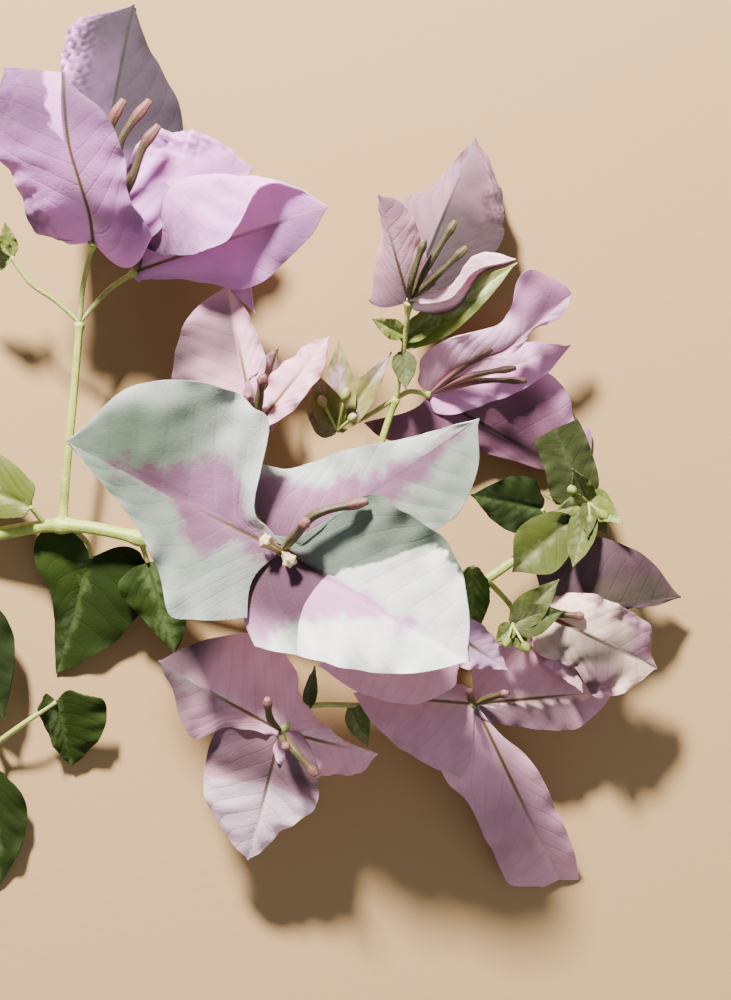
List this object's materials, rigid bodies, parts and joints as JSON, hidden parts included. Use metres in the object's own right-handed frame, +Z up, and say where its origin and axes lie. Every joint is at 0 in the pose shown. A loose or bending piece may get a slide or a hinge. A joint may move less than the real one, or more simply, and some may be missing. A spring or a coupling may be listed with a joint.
{
  "type": "cut flowering bougainvillea branch",
  "caption": "Cut flowering bougainvillea branch lying flat: a slim green stem with side shoots, lilac, dusky pink and white papery bracts round slender flower tubes, buds and leaves.",
  "frame": {"origin": "under the middle of the whole branch, on the surface that it lies on", "axes": "+Z up from that surface towards the viewer, +X along the main stem from its cut end to its tip, +Y towards the top left blooms, the picture's upward direction"},
  "size_m": [0.1688, 0.1948, 0.052],
  "materials": {
    "green_stem": "fresh green bark, faintly ribbed and satin",
    "white_bract": "papery white with a pink middle, crinkled and matt",
    "lilac_bract": "papery lilac with fine veins, matt",
    "dusky_bract": "papery dusky pink with fine veins, matt",
    "cream_bud": "pale cream and pink, matt",
    "dark_leaf": "dark green leaf, satin",
    "young_leaf": "pale yellow-green young leaf, satin"
  },
  "bodies": {
    "root": {"main_stem": "green_stem", "shoot_upper_left": "green_stem", "shoot_middle": "green_stem", "shoot_lower": "green_stem", "shoot_right": "green_stem", "shoot_lower_left": "green_stem", "bloom_white": "white_bract", "bloom_behind": "dusky_bract", "bloom_upper": "dusky_bract", "bloom_top_left": "lilac_bract", "bloom_top_left_low": "lilac_bract", "bloom_top_middle": "dusky_bract", "bloom_right_top": "lilac_bract", "bloom_right": "dusky_bract", "bloom_lower": "dusky_bract", "bloom_lower_left": "dusky_bract", "buds_young": "cream_bud", "buds_left": "cream_bud", "buds_right": "young_leaf", "buds_lower_right": "young_leaf", "leaf_node": "dark_leaf", "leaf_node_right": "dark_leaf", "leaf_upper_left": "young_leaf", "leaf_left": "dark_leaf", "leaf_heart": "dark_leaf", "leaf_low": "dark_leaf", "leaf_right": "dark_leaf", "leaf_right_low": "dark_leaf"}
  },
  "joints": []
}
